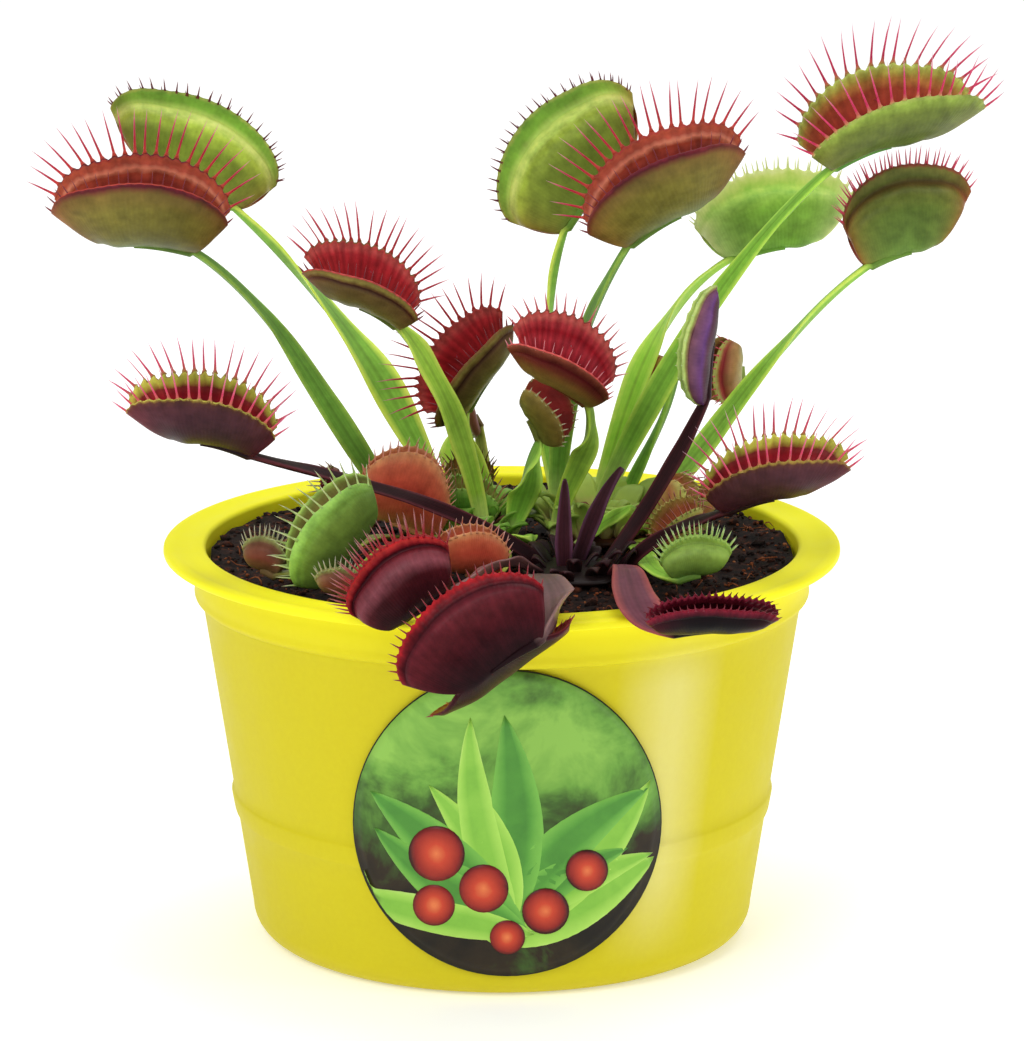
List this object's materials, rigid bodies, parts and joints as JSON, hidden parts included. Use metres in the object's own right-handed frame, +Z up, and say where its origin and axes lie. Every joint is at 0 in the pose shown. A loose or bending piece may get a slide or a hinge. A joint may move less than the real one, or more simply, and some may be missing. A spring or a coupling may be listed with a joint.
{
  "type": "potted venus flytrap",
  "caption": "Venus flytraps with long-stalked toothed traps, green and dark purple, rooted in peat in a round tapered plastic pot with a flat rim and a round front label.",
  "frame": {"origin": "centre of the pot's flat underside", "axes": "+Z up the pot's axis, -Y towards the round label on the front, +X to the right seen from the front"},
  "size_m": [0.1645, 0.1374, 0.1536],
  "materials": {
    "pot_plastic": "smooth glossy yellow plastic",
    "peat": "loose dark brown peat",
    "label_print": "printed film label",
    "crown_tissue": "pale plant tissue",
    "leaf_green": "satin green leaf, red inside the traps",
    "leaf_dark": "satin dark purple leaf"
  },
  "bodies": {
    "root": {"pot": "pot_plastic", "peat": "peat", "round_label": "label_print", "left_crown": "crown_tissue", "right_crown": "crown_tissue", "dark_crown": "crown_tissue", "tall_rear_left_leaf": "leaf_green", "tall_front_left_leaf": "leaf_green", "tall_rear_middle_leaf": "leaf_green", "tall_front_middle_leaf": "leaf_green", "pale_right_leaf": "leaf_green", "tall_right_leaf": "leaf_green", "far_right_leaf": "leaf_green", "dark_left_leaf": "leaf_dark", "dark_right_leaf": "leaf_dark", "dark_upright_leaf": "leaf_dark", "red_left_leaf": "leaf_green", "red_rear_leaf": "leaf_green", "red_middle_leaf": "leaf_green", "small_olive_leaf": "leaf_green", "small_right_leaf": "leaf_green", "dark_front_left_leaf": "leaf_dark", "dark_front_leaf": "leaf_dark", "dark_side_leaf": "leaf_dark", "low_green_left_leaf": "leaf_green", "small_rear_leaf": "leaf_green", "olive_bud_leaf": "leaf_green", "purple_bud_leaf": "leaf_green", "orange_left_leaf": "leaf_green", "orange_low_leaf": "leaf_green", "brown_edge_leaf": "leaf_green", "brown_front_leaf": "leaf_green", "green_comb_leaf": "leaf_green", "brown_comb_leaf": "leaf_green", "yellow_right_leaf": "leaf_green", "pink_right_leaf": "leaf_green", "fresh_right_leaf": "leaf_green", "pink_rear_leaf": "leaf_green", "pale_blade": "leaf_green", "front_blade": "leaf_green", "right_blade": "leaf_green", "dark_spike": "leaf_dark", "dark_strap": "leaf_dark"}
  },
  "joints": []
}
